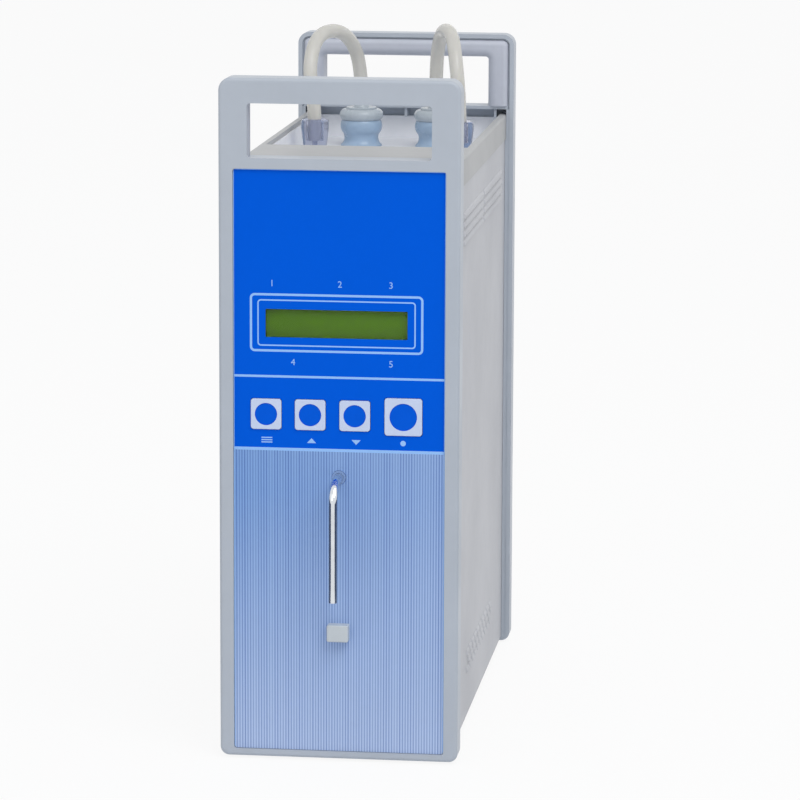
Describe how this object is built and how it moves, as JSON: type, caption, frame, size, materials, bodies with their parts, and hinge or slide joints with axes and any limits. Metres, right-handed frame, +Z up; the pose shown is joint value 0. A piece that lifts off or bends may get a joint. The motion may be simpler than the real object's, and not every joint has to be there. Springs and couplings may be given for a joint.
{
  "type": "milk analyzer",
  "caption": "Tall narrow bench instrument for testing milk: front panel with keys, display and bent sample pipe, end frames with carrying handles, hose loops in a top tray.",
  "frame": {"origin": "on the bench, halfway across, and halfway between the front of the sample pipe and the back of the rear frame", "axes": "+X to the right seen from the front, +Y from the front panel to the rear panel, +Z up"},
  "size_m": [0.105, 0.2694, 0.309],
  "materials": {
    "frame_paint": "satin, light blue-grey",
    "panel_paint": "fine-textured, light grey",
    "cover_paint": "fine-textured, light grey",
    "grip_plastic": "satin",
    "tray_plastic": "satin",
    "front_film": "printed, satin",
    "key_plastic": "satin",
    "plate_metal": "brushed",
    "clear_window": "clear",
    "lcd_glass": "olive display glass",
    "bent_steel": "polished",
    "fitting_plastic": "satin, blue-grey",
    "cap_plastic": "satin",
    "clear_hose": "translucent silicone",
    "peg_plastic": "satin",
    "rubber_black": "matt",
    "chassis_steel": "zinc plated",
    "fastener_steel": "zinc plated",
    "board_green": "solder mask",
    "chip_black": "moulded",
    "white_plastic": "moulded",
    "black_plastic": "moulded",
    "winding_tape": "wrapped tape",
    "cell_metal": "machined",
    "heater_rubber": "silicone mat",
    "motor_steel": "plated",
    "brass_nut": "turned"
  },
  "bodies": {
    "housing": {"front_frame": "frame_paint", "front_handle_grip": "grip_plastic", "rear_frame": "frame_paint", "rear_handle_grip": "grip_plastic", "left_side_panel": "panel_paint", "right_side_panel": "panel_paint", "base_plate": "cover_paint", "top_cover": "cover_paint", "hose_tray": "tray_plastic", "rubber_feet": "rubber_black", "front_plate": "plate_metal", "front_overlay": "front_film", "keypad_board": "board_green", "keypad_switches": "black_plastic", "display_window": "clear_window", "display_glass": "lcd_glass", "display_board": "board_green", "pipe_bush": "fitting_plastic", "cup_peg": "peg_plastic", "left_hose_socket": "fitting_plastic", "left_port_body": "fitting_plastic", "left_port_cap": "cap_plastic", "left_hose_loop": "clear_hose", "right_hose_socket": "fitting_plastic", "right_port_body": "fitting_plastic", "right_port_cap": "cap_plastic", "right_hose_loop": "clear_hose", "panel_nuts": "brass_nut", "inner_chassis": "chassis_steel", "main_board": "board_green", "board_standoffs": "brass_nut", "board_components": "chip_black", "ring_transformer": "winding_tape", "measuring_cell": "cell_metal", "cell_transducers": "motor_steel", "cell_heater": "heater_rubber", "inlet_hose": "clear_hose", "cell_hose": "clear_hose", "pump_motor": "motor_steel", "pump_bracket": "chassis_steel", "pump_head": "white_plastic", "pump_cover": "white_plastic", "pump_tube": "clear_hose", "inner_fasteners": "fastener_steel", "display_ribbon": "white_plastic", "rear_panel": "panel_paint", "power_inlet": "black_plastic", "switch_frame": "black_plastic", "data_connector": "motor_steel", "rear_screws": "fastener_steel"},
    "mode_key": {"mode_key": "key_plastic"},
    "up_key": {"up_key": "key_plastic"},
    "down_key": {"down_key": "key_plastic"},
    "ok_key": {"ok_key": "key_plastic"},
    "pipe": {"sample_pipe": "bent_steel", "pipe_clip": "fastener_steel"},
    "rocker": {"switch_rocker": "black_plastic"},
    "rotor": {"pump_rotor": "fastener_steel"},
    "roller_1": {"pump_roller_1": "white_plastic"},
    "roller_2": {"pump_roller_2": "white_plastic"}
  },
  "joints": [
    {"name": "mode_press", "type": "slide", "parent": "housing", "child": "mode_key", "axis": [0, 1, 0], "range_m": [0, 0.0006], "stiffness_N_per_m": 1000, "springref_m": -0.0005},
    {"name": "up_press", "type": "slide", "parent": "housing", "child": "up_key", "axis": [0, 1, 0], "range_m": [0, 0.0006], "stiffness_N_per_m": 1000, "springref_m": -0.0005},
    {"name": "down_press", "type": "slide", "parent": "housing", "child": "down_key", "axis": [0, 1, 0], "range_m": [0, 0.0006], "stiffness_N_per_m": 1000, "springref_m": -0.0005},
    {"name": "ok_press", "type": "slide", "parent": "housing", "child": "ok_key", "axis": [0, 1, 0], "range_m": [0, 0.0006], "stiffness_N_per_m": 1000, "springref_m": -0.0005},
    {"name": "pipe_swivel", "type": "hinge", "parent": "housing", "child": "pipe", "pos_m": [0, -0.11525, 0.1267], "axis": [0, 1, 0], "range_deg": [-60, 60]},
    {"name": "power_rock", "type": "hinge", "parent": "housing", "child": "rocker", "pos_m": [-0.02, 0.12675, 0.036], "axis": [1, 0, 0], "range_deg": [0, 20]},
    {"name": "pump_turn", "type": "hinge", "parent": "housing", "child": "rotor", "pos_m": [0.0145, 0.04775, 0.15], "axis": [1, 0, 0], "continuous": true},
    {"name": "roller_1_turn", "type": "hinge", "parent": "rotor", "child": "roller_1", "pos_m": [0.0145, 0.05615, 0.15], "axis": [1, 0, 0], "continuous": true},
    {"name": "roller_2_turn", "type": "hinge", "parent": "rotor", "child": "roller_2", "pos_m": [0.0145, 0.03935, 0.15], "axis": [1, 0, 0], "continuous": true}
  ],
  "couplings": [
    {"joint": "roller_1_turn", "follows": "pump_turn", "ratio": -3.719},
    {"joint": "roller_2_turn", "follows": "pump_turn", "ratio": -3.719}
  ]
}
